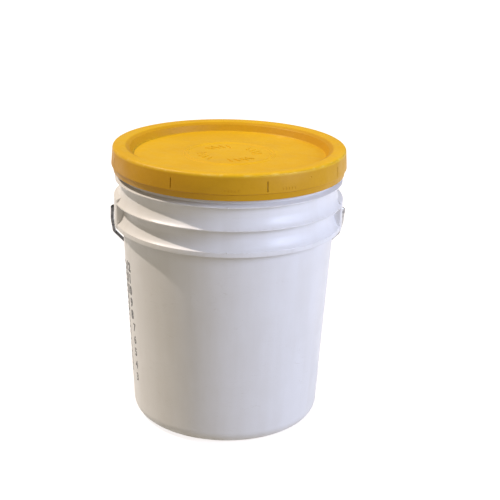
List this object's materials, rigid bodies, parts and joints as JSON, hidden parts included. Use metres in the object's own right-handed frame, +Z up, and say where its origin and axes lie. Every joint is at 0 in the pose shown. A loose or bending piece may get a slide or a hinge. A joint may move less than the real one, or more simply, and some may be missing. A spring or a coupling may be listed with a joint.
{
  "type": "plastic fermenting bucket",
  "caption": "Tapered round plastic pail with stiffening rings, a press-on lid with tear slits, a sealing ring, and a wire bail with a turning grip.",
  "frame": {"origin": "centre of the circle that the bucket stands on, at the underside of its foot", "axes": "+Z up along the bucket's axis; X through the two bail pivots; +Y to the back, where the bail hangs"},
  "size_m": [0.3254, 0.315, 0.382],
  "materials": {
    "pail_plastic": "white high-density polyethylene, satin, faintly translucent",
    "lid_plastic": "golden yellow high-density polyethylene, satin",
    "seal_rubber": "grey soft sealing ring",
    "zinc_wire": "zinc-plated drawn steel wire",
    "grip_plastic": "white moulded polyethylene"
  },
  "bodies": {
    "bucket": {"bucket_body": "pail_plastic"},
    "lid": {"lid": "lid_plastic", "lid_gasket": "seal_rubber"},
    "bail": {"bail_wire": "zinc_wire"},
    "grip": {"bail_grip": "grip_plastic"}
  },
  "joints": [
    {"name": "bail_swing", "type": "hinge", "parent": "bucket", "child": "bail", "pos_m": [0, 0, 0.2936], "axis": [1, 0, 0], "range_deg": [0, 260]},
    {"name": "grip_spin", "type": "hinge", "parent": "bail", "child": "grip", "pos_m": [0, 0.14777, 0.16961], "axis": [1, 0, 0], "continuous": true},
    {"name": "lid_lift", "type": "slide", "parent": "bucket", "child": "lid", "axis": [0, 0, 1], "range_m": [0, 0.06]}
  ]
}
